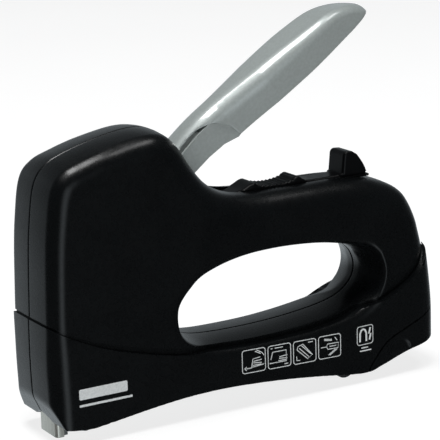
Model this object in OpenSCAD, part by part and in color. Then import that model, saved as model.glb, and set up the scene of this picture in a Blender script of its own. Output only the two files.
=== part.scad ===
// Squeeze-lever hand tacker.
// X runs from the nose to the rear, Z is up, and Y = 0 is the seam between the two shells.
// The origin is the bottom centre of the nose's front face, where a staple comes out.

/* [Housing] */
// Half width of the proud lower part of the housing
lower_half = 19.5; // [18:0.1:21]
// Half width of the head and handle
upper_half = 18.7; // [17:0.1:19]
// Edge radius along the top of the head and handle
edge_r = 10; // [6:0.5:11]
// Corner radius of the front, seen from above
front_r = 13; // [8:0.5:15]
// Width of the styling groove
groove_w = 2.0; // [1:0.1:3]
// Depth of the styling groove
groove_d = 1.0; // [0.5:0.1:1.4]

/* [Lever] */
// Pivot, distance behind the nose
pivot_x = 48; // [47:0.5:49]
// Pivot height
pivot_z = 96; // [95.5:0.1:96.5]
// Pivot pin radius
pivot_r = 3; // [2.5:0.1:3.5]
// Half width of the lever's grip
lever_half = 11.5; // [10:0.1:12]
// Slope of the open lever in degrees
lever_slope = 33; // [32:0.5:34]

/* [Drive] */
// Middle of the hammer, distance behind the nose
hammer_x = 16; // [15.8:0.1:16.4]
// Hammer body radius
hammer_r = 8.2; // [8:0.1:8.3]
// Wire diameter of the main spring
main_wire = 2.2; // [1.6:0.1:2.4]
// Turns in the main spring
main_turns = 9; // [6:1:10]
// Width of the driver blade
blade_w = 10.4; // [9:0.1:10.6]
// Thickness of the driver blade
blade_t = 1.2; // [1:0.1:1.3]

/* [Magazine] */
// Half width of the nose and of the fixed channel
nose_half = 7.3; // [7:0.1:7.5]
// Height of the underside of the channel
channel_z = 8; // [7.8:0.1:8.4]
// Height of the channel's walls
channel_h = 11; // [10:0.1:11.2]
// Rear end of the channel
channel_end = 132; // [120:1:133]
// Turns in the pusher spring
pusher_turns = 24; // [10:1:28]

/* [Hidden] */
$fn = 48;
fit = 0.05;          // radial clearance of a pin in its bore
gap = 0.3;           // clearance between parts that move past each other
steps = 5;           // segments between two points of a smooth outline

// Smooth curves through a few points
function spline(a, b, c, d, t) =
    0.5 * (2 * b + (c - a) * t + (2 * a - 5 * b + 4 * c - d) * t * t + (3 * b - a - 3 * c + d) * t * t * t);
function held(p, i) = p[max(0, min(len(p) - 1, i))];
function curve(p, n = steps) = concat(
    [for (i = [0:len(p) - 2]) for (k = [0:n - 1])
        spline(held(p, i - 1), p[i], p[i + 1], held(p, i + 2), k / n)], [p[len(p) - 1]]);
function turn(p, i) = p[(i + len(p)) % len(p)];
function closed_curve(p, n = steps) =
    [for (i = [0:len(p) - 1]) for (k = [0:n - 1])
        spline(turn(p, i - 1), p[i], turn(p, i + 1), turn(p, i + 2), k / n)];
function arc(c, r, a0, a1, n = 8) =
    [for (k = [0:n]) c + r * [cos(a0 + (a1 - a0) * k / n), sin(a0 + (a1 - a0) * k / n)]];
function ease(x, lo, hi) = let (t = max(0, min(1, (x - lo) / (hi - lo)))) t * t * (3 - 2 * t);
// Inward normal of a clockwise outline
function inward(p, i) = let (t = turn(p, i + 1) - turn(p, i - 1)) [t[1], -t[0]] / norm(t);

// Side outlines, as X and Z
head_and_handle = curve([[-5.7, 16.5], [-6, 34], [-5.2, 62], [-3.4, 84], [-0.9, 98.5], [4.2, 105.2],
    [12.2, 109], [25.8, 112.8], [39.5, 115], [48.4, 113.8], [54.6, 108.6], [60.4, 99.8], [67, 92],
    [76, 86.6], [88, 84.4], [108, 84.2], [128, 84.2], [142, 82.8], [153.5, 79.3], [161.5, 73.8],
    [166.8, 65], [170.3, 54], [172.2, 42], [173.6, 28], [173.8, 15]], 3);
underside = curve([[172, 12.4], [158.5, 10.2], [151, 8.2], [143, 5.6], [134, 3.8],
    [112, 6.6], [96, 8.4], [80, 9.6], [66, 10.1], [52, 9.8], [36, 8.4], [11, 5.4], [4, 5.7], [-2.4, 6.8]], 2);
body_outline = concat(head_and_handle, underside);
grip_outline = closed_curve([[51.5, 41], [53.2, 49], [58.8, 55.4], [68, 59], [80, 61.1], [94, 61.8],
    [108, 61.4], [120, 60], [131, 57.2], [138.6, 52.5], [141.8, 46], [140.6, 39.5], [134.5, 34],
    [124, 30.8], [106, 28.6], [87, 27.8], [68, 28.3], [58.4, 30.4], [53.2, 34.6]], 3);
groove_line = curve([[-12, 51], [-3, 46], [6, 41.1], [22.6, 34.9], [48.3, 28.7], [75.2, 26.2],
    [103, 26.4], [122.2, 28.2], [133, 30.6], [143, 33.4], [152, 36.8], [160, 41.8], [168, 49], [180, 62]], 2);
cap_line = curve([[134.4, -6], [135.6, 3.5], [138.8, 8.9], [145.3, 15.6], [153.4, 19.3],
    [160.5, 22.2], [167.2, 24.7], [182, 30]], 3);

// Outline let out or drawn in, by a distance worked out at each point
function let_out(p, amount) = [for (i = [0:len(p) - 1]) p[i] - amount[i] * inward(p, i)];
// Scoop round the grip opening: deepest at the rear wall, small along the lower bar
function scoop(p) = 1 + 2.5 * ease(p[1], 30, 48) + 4 * ease(p[0], 118, 140) * ease(p[1], 31, 40);

// Extrudes an outline given as X and Z between two values of Y
module across(y0, y1) {
    translate([0, y1, 0]) rotate([90, 0, 0]) linear_extrude(height = y1 - y0) children();
}
// Extrudes an outline given as X and Y upwards
module upright(z0, z1) {
    translate([0, 0, z0]) linear_extrude(height = z1 - z0) children();
}
// Round bar along Y
module bar_y(x, z, r, y0, y1) {
    translate([x, y1, z]) rotate([90, 0, 0]) cylinder(r = r, h = y1 - y0);
}
module block(x0, x1, y0, y1, z0, z1) {
    translate([x0, y0, z0]) cube([x1 - x0, y1 - y0, z1 - z0]);
}

// Plan outlines, as X and Y, on the positive side only
function plan_half(half_w, handle_w, front, rear, rear_r, cut = 0) = concat(
    [[front + cut, 0]],
    arc([front + front_r + cut, half_w - front_r - cut], front_r, 180, 90, 10),
    [[62, half_w - cut], [86, handle_w - cut]],
    arc([rear - rear_r - cut, handle_w - rear_r - cut], rear_r, 90, 0, 10),
    [[rear - cut, 0]]);
upper_plan = plan_half(upper_half, 16, -6.2, 172.5, 12);
lower_plan = plan_half(lower_half, lower_half, -6.2, 174, 16);
groove_plan = plan_half(upper_half, 16.4, -6.2, 171, 12, groove_d);

// Regions above, along and below the styling groove
module above_groove() {
    polygon(concat([for (p = groove_line) p + [0, groove_w / 2]], [[180, 150], [-12, 150]]));
}
module along_groove() {
    polygon(concat([for (p = groove_line) p + [0, groove_w]],
        [for (i = [len(groove_line) - 1:-1:0]) groove_line[i] - [0, groove_w]]));
}
module below_groove() {
    polygon(concat([for (p = groove_line) p - [0, groove_w / 2]], [[180, -20], [-12, -20]]));
}
module tier(plan) {
    intersection() {
        across(0, lower_half) polygon(body_outline);
        upright(-1, 120) polygon(plan);
        across(-1, 20) children();
    }
}

// Waste outside a rounded edge that starts at [x, z] and runs at a slope for a length
module edge_waste(x, z, slope, length, half_w, r) {
    translate([x, 0, z]) rotate([0, -slope, 0]) rotate([90, 0, 90]) linear_extrude(height = length)
        polygon(concat(arc([half_w - r, -r], r, 90, 0), [[half_w + 4, -r], [half_w + 4, 6], [half_w - r, 6]]));
}

// Right-hand half of the body's outer form, still solid
module body_half() {
    difference() {
        union() {
            tier(upper_plan) above_groove();
            tier(groove_plan) along_groove();
            tier(lower_plan) below_groove();
        }
        edge_waste(-8, 103.6, 13.6, 60, upper_half, edge_r);
        edge_waste(50.6, 116, -54, 21, upper_half, edge_r * 0.7);
        edge_waste(66, 86.6, -2.6, 84, 17, edge_r * 0.8);
        edge_waste(148, 83.5, -37, 26, 16, edge_r * 0.8);
        across(-1, 22) polygon(grip_outline);
        across(15, 22) polygon(let_out(grip_outline, [for (p = grip_outline) scoop(p)]));
    }
}

// Where the pull-out cap is, below and behind its parting line
module cap_region(clear = 0) {
    polygon(concat([for (p = cap_line) [p[0] + clear, p[1] - clear]], [[182, -6]]));
}

screws = [[36, 105.6], [40, 56], [37, 25], [70, 73], [112, 23], [150, 30], [157, 62]];
boss_r = 3.6;
screw_r = 1.4;
screw_head_r = 2.9;
screw_head_z = 12.5;

// Half width of the head's hollow
wide_hollow = 15;
// Hollows inside one shell, on the positive side
module hollows() {
    across(-1, 9.5) polygon([[-1.5, 30], [-1.5, 92], [2, 99.5], [10, 104.6], [26, 109], [38, 111.5],
        [47, 110], [52, 103], [55.5, 94], [55.5, 88], [48.5, 60], [46, 44], [46, 30]]);
    across(-1, wide_hollow) polygon([[3, 30], [3, 90], [10, 99.6], [28, 103.5], [42, 105], [53, 103],
        [57, 96.4], [56, 85], [50, 76], [45, 60], [43, 44], [43, 30]]);
    across(-1, wide_hollow) polygon([[3, 10.4], [3, 30.1], [30, 30.1], [50, 24], [130, 24], [146, 28],
        [168, 28], [160, 20], [145, 18], [134, 8], [126, 8], [112, 10], [90, 13], [66, 14], [36, 11.8]]);
    across(-1, 12) polygon([[60, 68], [66, 80], [74, 80], [84, 78.8], [140, 78.8], [152, 74],
        [158, 66], [162, 52], [164, 36], [154, 36], [153, 50], [146, 62], [134, 67.5], [90, 67.5]]);
}
// Slot in the head's rear slope that the lever swings in
module lever_slot() {
    across(-1, 9) polygon([[46, 87.2], [64, 86.2], [84, 90], [84, 130], [50.5, 118], [46, 104]]);
}
// Recess and slot in the top of the handle for the lock slide
module lock_recess() {
    block(73.6, 151.6, -1, 6, 82.2, 95);
    block(84, 136, -1, 3, 76, 84);
}

module shell_half() {
    difference() {
        union() {
            difference() {
                body_half();
                hollows();
            }
            for (s = screws) bar_y(s[0], s[1], boss_r, 0, wide_hollow + 0.4);
            bar_y(pivot_x, pivot_z, 6.4, 13.4, wide_hollow + 0.4);
            block(6, 30, 13.4, wide_hollow + 0.4, 32, 36);
            block(6, 30, 13.4, wide_hollow + 0.4, 96, 99);
            block(60, 126, 7.8, wide_hollow + 0.4, 19.8, 24.2);
            for (x = [94, 124.5]) block(x, x + 3, 0, 12.2, 67, 74.8);
        }
        lever_slot();
        lock_recess();
        across(-1, 30) cap_region();
        block(-0.1, 12, -1, nose_half + 0.1, -2, 34);
        block(8, 150, -1, nose_half + 0.1, -2, 19.5);
        block(127.4, 134.3, -1, 9.8, -2, 8.1);
        bar_y(pivot_x, pivot_z, pivot_r + fit, 13, 15.2);
    }
}

module housing_left() {
    color([0.05, 0.055, 0.06])
    mirror([0, 1, 0]) difference() {
        shell_half();
        for (s = screws) bar_y(s[0], s[1], screw_r + fit, -1, 11.5);
    }
}

module housing_right() {
    color([0.05, 0.055, 0.06])
    difference() {
        shell_half();
        for (s = screws) {
            bar_y(s[0], s[1], screw_r + 0.25, -1, 30);
            bar_y(s[0], s[1], screw_head_r + 0.3, screw_head_z, 30);
        }
    }
}

module housing_screws() {
    color([0.55, 0.56, 0.58])
    for (s = screws) difference() {
        union() {
            bar_y(s[0], s[1], screw_r, -11, screw_head_z + 0.2);
            bar_y(s[0], s[1], screw_head_r, screw_head_z, screw_head_z + 2.2);
        }
        translate([s[0], screw_head_z + 1.3, s[1]]) rotate([-90, 0, 0]) cylinder(r = 1.3, h = 3, $fn = 6);
    }
}

module rear_foot() {
    color([0.07, 0.07, 0.07])
    intersection() {
        block(127.5, 134.2, -9.7, 9.7, 0, 8);
        bar_y(130.8, 5, 5, -10, 10);
    }
}

frame_outline = [[4, 24], [30, 24], [30, 66], [49, 77], [55, 86], [56, 96], [52, 101.4], [30, 101.6],
    [10, 98.6], [4, 89]];
frame_y = 11.6;
frame_t = 1.5;
module frame_plate() {
    difference() {
        across(frame_y, frame_y + frame_t) polygon(frame_outline);
        bar_y(pivot_x, pivot_z, pivot_r + fit, frame_y - 1, frame_y + 3);
        across(frame_y - 1, frame_y + 3) polygon([[9, 56], [25, 56], [25, 74], [9, 74]]);
    }
}
module frame_plate_left() {
    color([0.62, 0.63, 0.65]) mirror([0, 1, 0]) frame_plate();
}
module frame_plate_right() {
    color([0.62, 0.63, 0.65]) frame_plate();
}
// Cross tubes that hold the two frame plates apart
module frame_spacers() {
    color([0.7, 0.7, 0.72])
    for (p = [[8, 36.2], [26, 36.2], [45, 81]]) difference() {
        bar_y(p[0], p[1], 2.4, -frame_y, frame_y);
        bar_y(p[0], p[1], 1.2, -frame_y - 1, frame_y + 1);
    }
}

// Bent steel front plate, whose lower edge is the nose
module nose_plate() {
    color([0.8, 0.8, 0.78])
    intersection() {
        difference() {
            block(0, 9, -nose_half, nose_half, 0, 33);
            block(1.8, 12, -nose_half + 1.2, nose_half - 1.2, -1, 34);
        }
        across(-8, 8) polygon([[0, 0], [4.2, 0], [9, 5], [9, 33], [0, 33]]);
    }
}
// Guide behind the blade, with a window that the staples come through
module blade_guide() {
    color([0.7, 0.7, 0.7])
    difference() {
        block(3.9, 5.4, -nose_half + 1.3, nose_half - 1.3, 0.2, 33);
        block(3, 7, -5.5, 5.5, 8.2, 17.6);
    }
}

module bumper_bracket() {
    color([0.6, 0.61, 0.63]) block(4, 30, -frame_y, frame_y, 39.6, 41.8);
}
module bumper() {
    color([0.12, 0.12, 0.12]) difference() {
        translate([hammer_x, 0, 41.8]) cylinder(r = 10.6, h = 7.8);
        block(0, 5.6, -12, 12, 40, 52);
    }
}

spring_top = 100.6;
spring_floor = 58;
module spring_cap() {
    color([0.6, 0.61, 0.63]) union() {
        translate([hammer_x, 0, spring_top]) cylinder(r = 8.6, h = 2);
        translate([hammer_x, 0, spring_top - 6]) cylinder(r = 4, h = 6.2);
    }
}

// Round wire wound about Z: r is the coil radius, and rings sets how fine each turn is
module coil(r, wire, height, turns, rings, sides) {
    n = turns * rings;
    rise = (height - wire) / n;
    tilt = atan(rise * rings / (2 * PI * r));
    polyhedron(
        points = [for (k = [0:n]) for (s = [0:sides - 1])
            let (a = 360 * k / rings, b = 360 * s / sides, out = r + wire / 2 * cos(b), up = wire / 2 * sin(b))
            [out * cos(a) + up * sin(tilt) * sin(a), out * sin(a) - up * sin(tilt) * cos(a),
             wire / 2 + rise * k + up * cos(tilt)]],
        faces = concat(
            [[for (s = [0:sides - 1]) sides - 1 - s]],
            [for (k = [0:n - 1]) for (s = [0:sides - 1]) let (t = (s + 1) % sides)
                each [[k * sides + s, (k + 1) * sides + t, (k + 1) * sides + s],
                      [k * sides + s, k * sides + t, (k + 1) * sides + t]]],
            [[for (s = [0:sides - 1]) n * sides + s]]));
}

module main_spring() {
    color([0.5, 0.51, 0.53])
    translate([hammer_x, 0, spring_floor]) coil(5.7, main_wire, spring_top - spring_floor, main_turns, 14, 8);
}

lug_z = 79.6;
lug_h = 3.6;
// Cup that carries the spring and the blade; the lever lifts it by its two side lugs
module hammer() {
    color([0.45, 0.46, 0.48])
    difference() {
        union() {
            translate([hammer_x, 0, 49.9]) cylinder(r = hammer_r, h = lug_z + lug_h - 49.9);
            block(11.6, 18.5, -11.2, 11.2, lug_z, lug_z + lug_h);
            block(3.7, 9, -5.6, 5.6, 62, 76);
        }
        translate([hammer_x, 0, spring_floor]) cylinder(r = 7.2, h = 40);
        translate([3, 0, 69]) rotate([0, 90, 0]) cylinder(r = 1.5 + fit, h = 4.5);
    }
}
module driver_blade() {
    color([0.72, 0.72, 0.72])
    difference() {
        block(2.3, 2.3 + blade_t, -blade_w / 2, blade_w / 2, 0.8, 75);
        translate([1, 0, 69]) rotate([0, 90, 0]) cylinder(r = 1.5 + fit, h = 5);
    }
}
module driver_pin() {
    color([0.65, 0.65, 0.67])
    union() {
        translate([1.9, 0, 69]) rotate([0, 90, 0]) cylinder(r = 1.5, h = 5.4);
        translate([1, 0, 69]) rotate([0, 90, 0]) cylinder(r = 2.4, h = 1.2);
    }
}

// Lever outlines in place, open, as X and Z
grip_top = curve([[57.5, 106.8], [63.5, 112], [70.4, 117.2], [84.3, 126.3], [103.1, 138.2],
    [117.3, 146.3], [126.9, 151], [136.5, 153], [146.1, 152.5], [152, 150.6], [153.6, 148.6]], 3);
grip_under = curve([[152.4, 147], [141, 143.6], [130.4, 137], [111.3, 124.4], [92.6, 112],
    [85, 106.8]], 3);
grip_step = curve([[82.6, 109.6], [79, 112.2], [73, 113.4], [66.5, 111.4], [60, 106.2], [58.6, 104.4]], 3);
arm_side = concat(arc([pivot_x, pivot_z], 7, 250, 205, 4), arc([pivot_x, pivot_z], 7, 160, 100, 4),
    [[58.2, 102.6], [66.5, 110], [73, 114.8], [80, 119.6], [116, 141.2], [119, 138], [96, 119.6],
     [86, 108.6], [84.4, 107], [77.8, 104.8], [71, 100.6], [64.4, 95.4], [58, 91.4], [53.5, 90.6]]);
cheek_out = 7.4;
cheek_in = 6.3;
grip_end = 101.5;
tip_x = 20;
tip_z = 75.8;
tip_r = 3.5;

// Frame of the lever: u along the lever from the pivot, Y across
module along_lever() {
    translate([pivot_x, 0, pivot_z]) rotate([0, -lever_slope, 0]) children();
}
module grip_plan(cut = 0, neck = 8.5) {
    half_plan = concat([[0, min(neck, 8.1)], [36, neck], [58, lever_half - 0.6 - cut], [84, lever_half - cut]],
        arc([grip_end, 0], lever_half - cut, 90, 0, 8));
    polygon(concat(half_plan, [for (i = [len(half_plan) - 1:-1:0]) [half_plan[i][0], -half_plan[i][1]]]));
}
module lever_grip() {
    color([0.62, 0.63, 0.64])
    difference() {
        intersection() {
            across(-12, 12) polygon(concat(grip_top, grip_under, grip_step));
            along_lever() upright(-30, 60) grip_plan();
        }
        intersection() {
            across(-12, 12) polygon(concat([for (p = grip_top) p + [1.4, -2.1]], [[156, 130], [60, 84]]));
            along_lever() upright(-40, 60) intersection() {
                grip_plan(2, cheek_out + 0.1);
                translate([-10, -20]) square([114, 40]);
            }
        }
    }
}
// Steel channel inside the lever: two cheeks, a web, and two prongs that reach under the lugs
module lever_arm() {
    color([0.62, 0.63, 0.64])
    difference() {
        union() {
            for (s = [-1, 1]) {
                across(min(s * cheek_in, s * cheek_out), max(s * cheek_in, s * cheek_out)) polygon(arm_side);
                across(min(s * 9.5, s * 11.2), max(s * 9.5, s * 11.2)) polygon(concat(
                    arc([tip_x, tip_z], 2.9, 310, 110, 8), arc([pivot_x, pivot_z], 6.6, 188, -50, 12)));
                bar_y(pivot_x, pivot_z, 6.6, min(s * cheek_in, s * 9.6), max(s * cheek_in, s * 9.6));
            }
            intersection() {
                across(-cheek_in - 0.1, cheek_in + 0.1) polygon(arm_side);
                along_lever() block(24, 84, -cheek_in - 0.1, cheek_in + 0.1, 0.8, 2.4);
            }
        }
        bar_y(pivot_x, pivot_z, pivot_r + fit, -20, 20);
        bar_y(92, 122.6, 2 + fit, -20, 20);
        for (s = [-1, 1]) bar_y(tip_x, tip_z, 1.5 + fit, min(s * 8, s * 12), max(s * 8, s * 12));
    }
}
module lever_rivet() {
    color([0.7, 0.7, 0.71])
    bar_y(92, 122.6, 2, -8, 8);
}
module lever_pivot_pin() {
    color([0.7, 0.7, 0.71]) bar_y(pivot_x, pivot_z, pivot_r, -15, 15);
}

// Two small rollers on the prongs' ends, which run along the undersides of the hammer's lugs
module lifter_rollers() {
    color([0.7, 0.7, 0.71])
    for (s = [-1, 1]) difference() {
        bar_y(tip_x, tip_z, tip_r, min(s * 8.5, s * 9.4), max(s * 8.5, s * 9.4));
        bar_y(tip_x, tip_z, 1.5 + fit, min(s * 8, s * 10), max(s * 8, s * 10));
    }
}
module roller_pins() {
    color([0.66, 0.66, 0.68])
    for (s = [-1, 1]) bar_y(tip_x, tip_z, 1.5, min(s * 8.5, s * 11.2), max(s * 8.5, s * 11.2));
}
module lever_return_spring() {
    color([0.5, 0.51, 0.53])
    translate([pivot_x, 4.4, pivot_z]) rotate([90, 0, 0]) coil(4.2, 1.1, 8.8, 5, 14, 6);
}

// Half widths of the lock, narrow below the saddle's floor height and wide above it
slide_half = 4.7;
saddle_half = 5.7;
saddle_floor = 84.5;
saddle = concat(
    curve([[82, 83.4], [86.6, 84.8], [91.8, 87], [95, 86], [99, 85.2], [104, 85.1], [108.8, 85.8],
        [112.3, 87], [115.6, 85.2], [119, 84.4], [132.4, 84.5]], 3),
    [[133.7, 85], [134.4, 91.8]], arc([136.4, 91.8], 2, 170, 95, 4), [[138.8, 93.6]],
    curve([[141.2, 92.1], [144, 88.2], [145.8, 84.4], [146.6, 82.5]], 3), [[82, 82.5]]);
// Sliding lever lock: knurled saddle, plate and upright horn, with a foot inside the handle
module lock_slide() {
    color([0.035, 0.035, 0.04])
    difference() {
        union() {
            across(-slide_half, slide_half) polygon(saddle);
            intersection() {
                across(-saddle_half, saddle_half) polygon(saddle);
                block(82, 147, -7, 7, saddle_floor, 95);
            }
            block(80.4, 146.6, -5.6, 5.6, 82.5, 83.6);
            block(93, 133, -2.6, 2.6, 78, 82.6);
            block(93, 133, -5.4, 5.4, 77, 78.4);
        }
        for (x = [93.4:1.8:111]) translate([x, 0, 88]) rotate([0, 45, 0]) cube([1.2, 20, 4.6], center = true);
    }
}
module lock_detent_spring() {
    color([0.66, 0.66, 0.68])
    across(-3, 3) polygon([[96, 75.4], [104, 75.4], [108, 76.4], [112, 75.4], [126, 75.4], [126, 74.8],
        [96, 74.8]]);
}

// Fixed steel channel that the staples run in
module magazine_channel() {
    color([0.7, 0.7, 0.7])
    difference() {
        block(9.2, channel_end, -nose_half, nose_half, channel_z, channel_z + channel_h);
        block(9, channel_end + 1, -nose_half + 0.9, nose_half - 0.9, channel_z + 0.9, channel_z + channel_h + 1);
        for (x = [30, 118]) translate([x, 0, 7]) cylinder(r = 1.5 + fit, h = 3);
    }
}
module channel_rivets() {
    color([0.65, 0.65, 0.67])
    for (x = [30, 118]) translate([x, 0, channel_z]) cylinder(r = 1.5, h = 1);
}
// Leaf spring that clicks over the cap to hold the magazine shut
module magazine_catch() {
    color([0.66, 0.66, 0.68])
    across(-7, 7) polygon([[116.5, 19], [138.2, 19], [141.2, 18.6], [141.6, 19.2], [138.4, 19.6], [116.5, 19.6]]);
}
// Flat magnet above the channel that steadies loose nails
module magazine_magnet() {
    color([0.3, 0.3, 0.32]) block(12, 24, -7, 7, 19, 21);
}
rail_end = 150;
module magazine_rail() {
    color([0.74, 0.74, 0.73])
    difference() {
        block(5.8, rail_end, -4.7, 4.7, 10.2, 16.2);
        block(5, rail_end + 1, -3.9, 3.9, 8, 15.4);
        bar_y(147, 12.6, 1.5 + fit, -12, 12);
    }
}
module rear_cap() {
    color([0.05, 0.055, 0.06])
    difference() {
        intersection() {
            union() {
                body_half();
                mirror([0, 1, 0]) body_half();
            }
            across(-30, 30) cap_region(gap);
        }
        block(130, rail_end + 0.1, -4.8, 4.8, 10.1, 16.3);
        for (s = [-1, 1]) bar_y(154, 7.5, 7, min(s * 18.3, s * 30), max(s * 18.3, s * 30));
        bar_y(147, 12.6, 1.5 + fit, -12, 12);
    }
}
module cap_pin() {
    color([0.66, 0.66, 0.68]) bar_y(147, 12.6, 1.5, -11.8, 11.8);
}
// Saddle that pushes the staples to the nose
module pusher() {
    color([0.2, 0.2, 0.21])
    difference() {
        union() {
            difference() {
                block(6, 20, -5.9, 5.9, 9.2, 17.9);
                block(5, 21, -5, 5, 9.9, 16.5);
            }
            block(18, 20, -3.6, 3.6, 9.8, 15.1);
        }
        translate([17, 0, 12.6]) rotate([0, 90, 0]) cylinder(r = 0.85, h = 4);
    }
}
module pusher_rod() {
    color([0.7, 0.7, 0.71])
    translate([7, 0, 12.6]) rotate([0, 90, 0]) cylinder(r = 0.8, h = 138.3);
}
module pusher_spring() {
    color([0.5, 0.51, 0.53])
    translate([20.4, 0, 12.6]) rotate([0, 90, 0]) coil(1.9, 0.7, 124.6, pusher_turns, 10, 5);
}

housing_left();
housing_right();
housing_screws();
rear_foot();
frame_plate_left();
frame_plate_right();
frame_spacers();
nose_plate();
blade_guide();
bumper_bracket();
bumper();
spring_cap();
main_spring();
hammer();
driver_blade();
driver_pin();
lever_arm();
lever_grip();
lever_rivet();
lever_pivot_pin();
lifter_rollers();
roller_pins();
lever_return_spring();
lock_slide();
lock_detent_spring();
magazine_channel();
channel_rivets();
magazine_catch();
magazine_magnet();
magazine_rail();
rear_cap();
cap_pin();
pusher();
pusher_rod();
pusher_spring();
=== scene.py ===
"""Looks of the squeeze-lever hand tacker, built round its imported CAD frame.

Shapes are worked out in millimetres in the part's own frame: X from the nose to the rear, Y across, Z up.
The moulded pieces are signed fields, positive inside, meshed by a surface net and then cut with prisms.
"""

from math import cos, radians, sin

import bpy
import numpy as np
from mathutils import Matrix, Vector


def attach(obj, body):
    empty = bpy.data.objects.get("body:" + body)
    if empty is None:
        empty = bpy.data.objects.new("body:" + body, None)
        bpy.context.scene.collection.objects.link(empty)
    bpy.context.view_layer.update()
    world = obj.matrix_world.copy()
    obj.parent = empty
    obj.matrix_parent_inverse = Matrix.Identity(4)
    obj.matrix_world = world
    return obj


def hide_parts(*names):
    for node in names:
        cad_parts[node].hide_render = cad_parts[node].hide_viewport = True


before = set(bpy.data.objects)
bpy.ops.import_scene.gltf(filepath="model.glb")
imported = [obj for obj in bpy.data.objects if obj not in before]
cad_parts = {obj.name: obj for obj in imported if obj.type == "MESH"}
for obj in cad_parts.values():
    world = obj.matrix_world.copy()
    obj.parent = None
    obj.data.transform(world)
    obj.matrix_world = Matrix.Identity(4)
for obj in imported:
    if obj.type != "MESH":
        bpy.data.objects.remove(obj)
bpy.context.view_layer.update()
MM = 0.001


# ---------------------------------------------------------------- outlines

def spline(points, steps, closed=False):
    """Smooth line through the points, as rows of X and Z."""
    p = np.array(points, float)
    n = len(p)
    spans = n if closed else n - 1
    t = np.arange(steps)[:, None] / steps
    rows = []
    for i in range(spans):
        if closed:
            a, b, c, d = (p[(i + k) % n] for k in (-1, 0, 1, 2))
        else:
            a, b, c, d = (p[min(max(i + k, 0), n - 1)] for k in (-1, 0, 1, 2))
        rows.append(0.5 * (2 * b + (c - a) * t + (2 * a - 5 * b + 4 * c - d) * t ** 2
                           + (3 * b - a - 3 * c + d) * t ** 3))
    if not closed:
        rows.append(p[-1:])
    return np.vstack(rows)


def arc(centre, radius, start, end, count):
    """Points on a circle between two angles in degrees."""
    angle = np.radians(np.linspace(start, end, count))
    return np.column_stack([centre[0] + radius * np.cos(angle), centre[1] + radius * np.sin(angle)])


def ease(x, low, high):
    """Smooth step from 0 at low to 1 at high."""
    t = np.clip((x - low) / (high - low), 0, 1)
    return t * t * (3 - 2 * t)


HEAD_AND_HANDLE = spline(
    [[-5.7, 16.5], [-6, 34], [-5.2, 62], [-3.4, 84], [-0.9, 98.5], [4.2, 105.2],
     [12.2, 109], [25.8, 112.8], [39.5, 115], [48.4, 113.8], [54.6, 108.6], [60.4, 99.8], [67, 92],
     [76, 86.6], [88, 84.4], [108, 84.2], [128, 84.2], [142, 82.8], [153.5, 79.3], [161.5, 73.8],
     [166.8, 65], [170.3, 54], [172.2, 42], [173.6, 28], [173.8, 15]], 9)
UNDERSIDE = spline(
    [[-2.4, 6.8], [4, 5.7], [11, 5.4], [36, 8.4], [52, 9.8], [66, 10.1], [80, 9.6], [96, 8.4],
     [112, 6.6], [134, 3.8], [143, 5.6], [151, 8.2], [158.5, 10.2], [172, 12.4]], 8)
GRIP_OPENING = spline(
    [[51.5, 41], [53.2, 49], [58.8, 55.4], [68, 59], [80, 61.1], [94, 61.8],
     [108, 61.4], [120, 60], [131, 57.2], [138.6, 52.5], [141.8, 46], [140.6, 39.5], [134.5, 34],
     [124, 30.8], [106, 28.6], [87, 27.8], [68, 28.3], [58.4, 30.4], [53.2, 34.6]], 9, closed=True)
GROOVE = spline(
    [[-12, 51], [-3, 46], [6, 41.1], [22.6, 34.9], [48.3, 28.7], [75.2, 26.2],
     [103, 26.4], [122.2, 28.2], [133, 30.6], [143, 33.4], [152, 36.8], [160, 41.8], [168, 49],
     [180, 62]], 9)
CAP_LINE = spline(
    [[134.4, -6], [135.6, 3.5], [138.8, 8.9], [145.3, 15.6], [153.4, 19.3],
     [160.5, 22.2], [167.2, 24.7], [182, 30]], 8)
FRONT_AND_REAR_FOOT = -30     # how far the head's walls are carried down, so that only they round the plan


# ---------------------------------------------------------------- distances

def line_distance(line, x, z, closed=False):
    """Distance from points to a line made of straight pieces."""
    ends = np.roll(line, -1, axis=0) if closed else line[1:]
    starts = line if closed else line[:-1]
    best = np.full(x.shape, 1e9)
    for (ax, az), (bx, bz) in zip(starts, ends):
        dx, dz = bx - ax, bz - az
        t = np.clip(((x - ax) * dx + (z - az) * dz) / max(dx * dx + dz * dz, 1e-9), 0, 1)
        best = np.minimum(best, (x - ax - t * dx) ** 2 + (z - az - t * dz) ** 2)
    return np.sqrt(best)


def is_inside(line, x, z):
    """Even-odd test of points against a closed line."""
    inside = np.zeros(x.shape, bool)
    for (ax, az), (bx, bz) in zip(line, np.roll(line, -1, axis=0)):
        if az == bz:
            continue
        crossing = (az > z) != (bz > z)
        inside ^= crossing & (x < (bx - ax) * (z - az) / (bz - az) + ax)
    return inside


def depth_in(line, x, z):
    """Distance to a closed line, positive inside it."""
    d = line_distance(line, x, z, closed=True)
    return np.where(is_inside(line, x, z), d, -d)


def height_over(line, x, z):
    """Distance to a line that runs along X, positive above it."""
    d = line_distance(line, x, z)
    return np.where(z > np.interp(x, line[:, 0], line[:, 1]), d, -d)


def spread(anchors, x, z):
    """Value that blends smoothly between anchors, given as X, Z and value."""
    total = np.zeros(x.shape)
    weight = np.zeros(x.shape)
    for ax, az, value in anchors:
        w = 1 / ((x - ax) ** 2 + (z - az) ** 2 + 9) ** 2
        total += w * value
        weight += w
    return total / weight


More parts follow.
